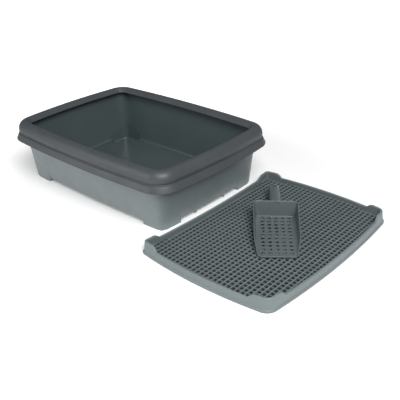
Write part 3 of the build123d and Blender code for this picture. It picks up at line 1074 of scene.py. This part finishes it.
hang = np.concatenate([hang_border, (hang_border + hang_edge) / 2, hang_edge])
hang_faces = grid_faces(3, len(hang_border), False, True, len(along))
handle_faces = np.concatenate([handle_faces[~in_tile], hang_faces])
along = np.concatenate([along, hang_place + hang[:, 0]])
over = np.concatenate([over, hang[:, 1] / handle_half])
print("handle has", len(along), "points on each skin")

# %% [markdown]
# A half-pipe is stiff for its weight and easy to mould. Both of its skins are the same arch, the
# lower one smaller by the wall. Towards the free end the arch is drawn in by a quarter circle,
# and the whole handle droops by a few degrees. The length and the droop are estimates, because
# the handle is seen almost end on.

# %% Handle skins and the whole scoop
droop_angle = np.radians(5)
handle_start = scoop_wall - 7 * MM
handle_sink = 0.05 * MM


def handle_skin(thickness):
    """Arch over the handle's run: across = half * v, up = arch * sqrt(1 - v * v). The end is
    drawn in by handle_end - sqrt(handle_end ** 2 - beyond ** 2)."""
    beyond = np.clip(along - handle_length + handle_end, 0, handle_end)
    drawn = handle_end - np.sqrt(handle_end ** 2 - beyond ** 2)
    half = handle_half - drawn - thickness
    arch = handle_arch - 0.5 * drawn - thickness
    rise = arch * np.sqrt(np.clip(1 - over ** 2, 0, 1)) - along * np.tan(droop_angle)
    end_back = thickness * beyond / handle_end
    return np.column_stack([
        handle_start - along + end_back, -half * over,
        back_height - handle_arch + rise - handle_sink
    ])


handle, handle_faces = two_skins(handle_skin(0), handle_skin(scoop_wall), handle_faces)
scoop_points = to_set(np.concatenate([basket, handle]))
scoop_faces = np.concatenate([basket_faces, handle_faces + len(basket)])
scoop_piece = make_piece("scoop_shell", scoop_points, scoop_faces)
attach(scoop_piece, "scoop")
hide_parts("scoop")

# %% [markdown]
# ## The plastic
# All four mouldings are taken to be polypropylene, which the eye can't prove. The colour of such
# plastic is mixed in and is never quite even: the melt leaves faint clouds, the mould's eroded steel leaves a fine grain,
# and handling polishes the grain in patches. A plain colour would look like paper, and an image
# could not be moved to other parts. So the finish is worked out from nodes, and two helpers keep
# the lines that make them short.

# %% Node helpers
cloud_scale, patch_scale, grain_scale = 9, 38, 1400
noise_span = (0.3, 0.7)
grain_depth = 0.4 * MM


def new_material(name):
    """Empty node material and its nodes and links."""
    material = bpy.data.materials.new(name)
    material.use_nodes = True
    material.node_tree.nodes.clear()
    return material, material.node_tree.nodes, material.node_tree.links


def add_node(nodes, kind, settings=(), **inputs):
    """Node with its settings and then some of its inputs set. An input's name is written with _
    in place of a space."""
    node = nodes.new(kind)
    for name, value in dict(settings).items():
        setattr(node, name, value)
    for name, value in inputs.items():
        node.inputs[name.replace("_", " ")].default_value = value
    return node


print("noises from cloud to grain have scales", cloud_scale, patch_scale, grain_scale)

# %% [markdown]
# The three flaws become three noises of very different size: a slow one for the colour, a middle
# one for the roughness and a fine one for the bump. Noise values crowd round the middle, so both
# ramps use only that span of them.

# %% Moulded plastic


def moulded_plastic(name, colour, cloud, rough, grain):
    """Principled plastic. Colour, roughness and bump each follow a noise of their own, all of
    them placed by the piece's own coordinates in metres."""
    material, nodes, links = new_material(name)
    place = nodes.new("ShaderNodeTexCoord").outputs["Object"]
    clouds = add_node(nodes, "ShaderNodeTexNoise", Scale=cloud_scale, Detail=5, Distortion=0.6)
    patches = add_node(nodes, "ShaderNodeTexNoise", Scale=patch_scale, Detail=6)
    fine = add_node(nodes, "ShaderNodeTexNoise", Scale=grain_scale, Detail=3)
    for noise in (clouds, patches, fine):
        links.new(place, noise.inputs["Vector"])
    tint = nodes.new("ShaderNodeValToRGB")
    low, high = tint.color_ramp.elements
    low.position, high.position = noise_span
    low.color = (*[v * (1 - cloud) for v in colour], 1)
    high.color = (*[v * (1 + cloud) for v in colour], 1)
    sheen = add_node(
        nodes, "ShaderNodeMapRange", From_Min=noise_span[0], From_Max=noise_span[1],
        To_Min=rough[0], To_Max=rough[1]
    )
    bump = add_node(nodes, "ShaderNodeBump", Strength=grain, Distance=grain_depth)
    shader = nodes.new("ShaderNodeBsdfPrincipled")
    surface = nodes.new("ShaderNodeOutputMaterial")
    links.new(clouds.outputs["Fac"], tint.inputs["Fac"])
    links.new(patches.outputs["Fac"], sheen.inputs["Value"])
    links.new(fine.outputs["Fac"], bump.inputs["Height"])
    links.new(tint.outputs["Color"], shader.inputs["Base Color"])
    links.new(sheen.outputs["Result"], shader.inputs["Roughness"])
    links.new(bump.outputs["Normal"], shader.inputs["Normal"])
    links.new(shader.outputs["BSDF"], surface.inputs["Surface"])
    return material, shader, sheen


print("noise values used", noise_span)

# %% [markdown]
# The rim is plainly darker than the rest. The pan, the mat and the scoop may well be one grey: their
# colours differ here only because each was fitted to the picture under these lamps. Each has its
# own material, so one of them can be recoloured without the others.

# %% The four plastics


def dress(piece, material):
    """The piece's only material."""
    piece.data.materials.clear()
    piece.data.materials.append(material)


pan_material, pan_shader, pan_sheen = moulded_plastic(
    "pan_grey_plastic", (0.165, 0.196, 0.201), 0.05, (0.40, 0.52), 0.18
)
rim_material, _, _ = moulded_plastic(
    "rim_dark_plastic", (0.048, 0.055, 0.060), 0.08, (0.40, 0.54), 0.30
)
mat_material, mat_shader, _ = moulded_plastic(
    "mat_grey_plastic", (0.156, 0.187, 0.191), 0.05, (0.38, 0.52), 0.18
)
scoop_material, _, _ = moulded_plastic(
    "scoop_grey_plastic", (0.088, 0.107, 0.111), 0.05, (0.26, 0.38), 0.16
)
dress(pan_piece, pan_material)
dress(rim_piece, rim_material)
dress(mat_piece, mat_material)
dress(scoop_piece, scoop_material)
print("dressed in", [material.name for material in bpy.data.materials])

# %% [markdown]
# In the photo the pan's inside is much darker and glossier than its outside. A polished mould may
# explain the gloss, which comes from a lower roughness. The dark is shade. The real shade under
# these lamps was too weak, so the inside's colour is multiplied down as painted shade until it
# matches. That factor was fitted, not seen: under other light the inside may look too dark. A value
# stored on the mesh says which skin a point is on, for both the gloss and the painted shade.

# %% Polished inside of the pan, with painted shade
# The first value darkens the inside's colour as painted shade, and the second gives its gloss.
inside_painted_shade = (0.335, 0.38, 0.385, 1)
inside_roughness = 0.24


def multiplied_colour(material, shader, mark):
    """Multiply node put before the shader's colour, at work where a stored value is 1."""
    nodes, links = material.node_tree.nodes, material.node_tree.links
    where = add_node(nodes, "ShaderNodeAttribute", {"attribute_name": mark})
    multiply = add_node(
        nodes, "ShaderNodeMix", {"data_type": "RGBA", "blend_type": "MULTIPLY"}
    )
    links.new(where.outputs["Fac"], multiply.inputs["Factor"])
    links.new(shader.inputs["Base Color"].links[0].from_socket, multiply.inputs["A"])
    links.new(multiply.outputs["Result"], shader.inputs["Base Color"])
    return nodes, links, where, multiply


nodes, links, inside_mark, deeper = multiplied_colour(pan_material, pan_shader, "gloss_and_painted_shade")
deeper.inputs["B"].default_value = inside_painted_shade
smoother = add_node(nodes, "ShaderNodeMix", B=inside_roughness)
links.new(inside_mark.outputs["Fac"], smoother.inputs["Factor"])
links.new(pan_sheen.outputs["Result"], smoother.inputs["A"])
links.new(smoother.outputs["Result"], pan_shader.inputs["Roughness"])
print("inside roughness", inside_roughness)

# %% [markdown]
# In the photo the mat's pockets are dark and its rib tops light. In one even plastic they came out
# too much alike under these lamps, so the colour is multiplied by a ramp over height, from a
# pocket's bottom to a rib's top. The ramp stands in for shade. It was fitted to the picture and
# isn't a colour that the plastic has.

# %% Pockets and rib tops of the mat
pocket_shade, rib_shade = 0.15, 1.05
nodes, links, _, shade = multiplied_colour(mat_material, mat_shader, "grid")
split = nodes.new("ShaderNodeSeparateXYZ")
links.new(nodes.new("ShaderNodeTexCoord").outputs["Object"], split.inputs[0])
rise = add_node(
    nodes, "ShaderNodeMapRange", From_Min=mat_floor_top + 0.5 * MM, From_Max=long_rib_top,
    To_Min=pocket_shade, To_Max=rib_shade
)
links.new(split.outputs["Z"], rise.inputs["Value"])
links.new(rise.outputs["Result"], shade.inputs["B"])
print("pocket and rib shades", pocket_shade, rib_shade)

# %% [markdown]
# ## The camera
# The camera was worked out from the mat, because its square pockets show how a known pattern is
# seen: where it stands, how far it looks down and how long its lens is. Its three axes are built
# as columns of a matrix, first level and then rolled.

# %% Camera
camera_data = bpy.data.cameras.new("camera")
camera_data.lens = 57.56
camera_data.sensor_width = 36
camera_data.clip_end = 20
camera = bpy.data.objects.new("camera", camera_data)
bpy.context.collection.objects.link(camera)
camera_place = np.array([1.1026, -0.9888, 0.7164])
camera_place[:2] += pan_middle
azimuth, elevation, roll_turn = np.radians([42.409, 28.018, 1.683])


def placed(right, up, back, place):
    """Matrix whose columns are three axes and a place."""
    matrix = np.eye(4)
    matrix[:3] = np.column_stack([right, up, back, place])
    return Matrix(matrix)


right = np.array([*unit(azimuth), 0])
back = np.array([
    np.sin(azimuth) * np.cos(elevation), -np.cos(azimuth) * np.cos(elevation), np.sin(elevation)
])
up = np.cross(back, right)
camera.matrix_world = placed(
    right * np.cos(roll_turn) - up * np.sin(roll_turn),
    right * np.sin(roll_turn) + up * np.cos(roll_turn), back, camera_place
)
bpy.context.scene.camera = camera
bpy.context.scene.view_settings.view_transform = "Standard"
print("camera stands at", camera_place)

# %% [markdown]
# ## Floor and light
# The product stands on white. A white floor that is lit fully would send more light back up than
# a studio floor does, so the floor is pale and glows only a little near the product, which keeps
# its shadow. Further out, what the camera sees directly fades to plain white.

# %% Floor
floor_size = 6.0
floor_colour = (0.9, 0.9, 0.9, 1)
fade_reach = (0.35, 1.1)
fade_glow = (0.12, 0.95)
hidden_glow = 0.16
floor_points = np.array([(-1, -1, 0), (1, -1, 0), (1, 1, 0), (-1, 1, 0)], float) * floor_size
floor = make_piece("floor", floor_points, [(0, 1, 2, 3)], smooth=False)
floor_material, nodes, links = new_material("floor_white")
diffuse = add_node(nodes, "ShaderNodeBsdfDiffuse", Color=floor_colour)
glow = nodes.new("ShaderNodeEmission")
distance = add_node(nodes, "ShaderNodeVectorMath", {"operation": "LENGTH"})
fade = add_node(
    nodes, "ShaderNodeMapRange", {"interpolation_type": "SMOOTHSTEP"}, From_Min=fade_reach[0],
    From_Max=fade_reach[1], To_Min=fade_glow[0], To_Max=fade_glow[1]
)
amount = add_node(nodes, "ShaderNodeMix", A=hidden_glow)
both = nodes.new("ShaderNodeAddShader")
surface = nodes.new("ShaderNodeOutputMaterial")
links.new(nodes.new("ShaderNodeTexCoord").outputs["Object"], distance.inputs[0])
links.new(distance.outputs["Value"], fade.inputs["Value"])
links.new(nodes.new("ShaderNodeLightPath").outputs["Is Camera Ray"], amount.inputs["Factor"])
links.new(fade.outputs["Result"], amount.inputs["B"])
links.new(amount.outputs["Result"], glow.inputs["Strength"])
links.new(diffuse.outputs[0], both.inputs[0])
links.new(glow.outputs[0], both.inputs[1])
links.new(both.outputs[0], surface.inputs["Surface"])
floor.data.materials.append(floor_material)
print("floor fades to white between", fade_reach, "metres")

# %% [markdown]
# The world lights all sides a little, and the camera sees it as plain white above the floor's
# edge. Brightening the whole world instead would wash out the shadows.

# %% World
world_light, world_seen = 0.2, 1.0
world = bpy.data.worlds.new("studio")
bpy.context.scene.world = world
world.use_nodes = True
nodes, links = world.node_tree.nodes, world.node_tree.links
nodes["Background"].inputs["Color"].default_value = (1, 1, 1, 1)
sky = add_node(nodes, "ShaderNodeMix", A=world_light, B=world_seen)
links.new(nodes.new("ShaderNodeLightPath").outputs["Is Camera Ray"], sky.inputs["Factor"])
links.new(sky.outputs["Result"], nodes["Background"].inputs["Strength"])
print("world light", world_light)

# %% [markdown]
# Three large soft lamps do the rest: one low on the left for the long side, a stronger one high
# on the right, and a faint one above the back that fills the inside of the pan. Each is placed by
# three axes again, with its face turned to the middle of the set.

# %% Lamps
lamp_target = (0, 0, 0.05)


def area_lamp(name, place, size, power):
    """Square soft lamp that faces the target."""
    data = bpy.data.lights.new(name, "AREA")
    data.shape = "SQUARE"
    data.size = size
    data.energy = power
    lamp = bpy.data.objects.new(name, data)
    bpy.context.collection.objects.link(lamp)
    away = np.subtract(place, lamp_target)
    away = away / np.linalg.norm(away)
    side = np.cross((0, 0, 1), away)
    side = side / np.linalg.norm(side)
    lamp.matrix_world = placed(side, np.cross(away, side), away, place)
    print(name, power, "watts")


area_lamp("left_lamp", (-1.3, -2.3, 1.15), 1.5, 25)
area_lamp("right_lamp", (1.7, -1.0, 2.1), 1.5, 88)
area_lamp("top_lamp", (-0.2, 0.6, 2.4), 1.8, 6)
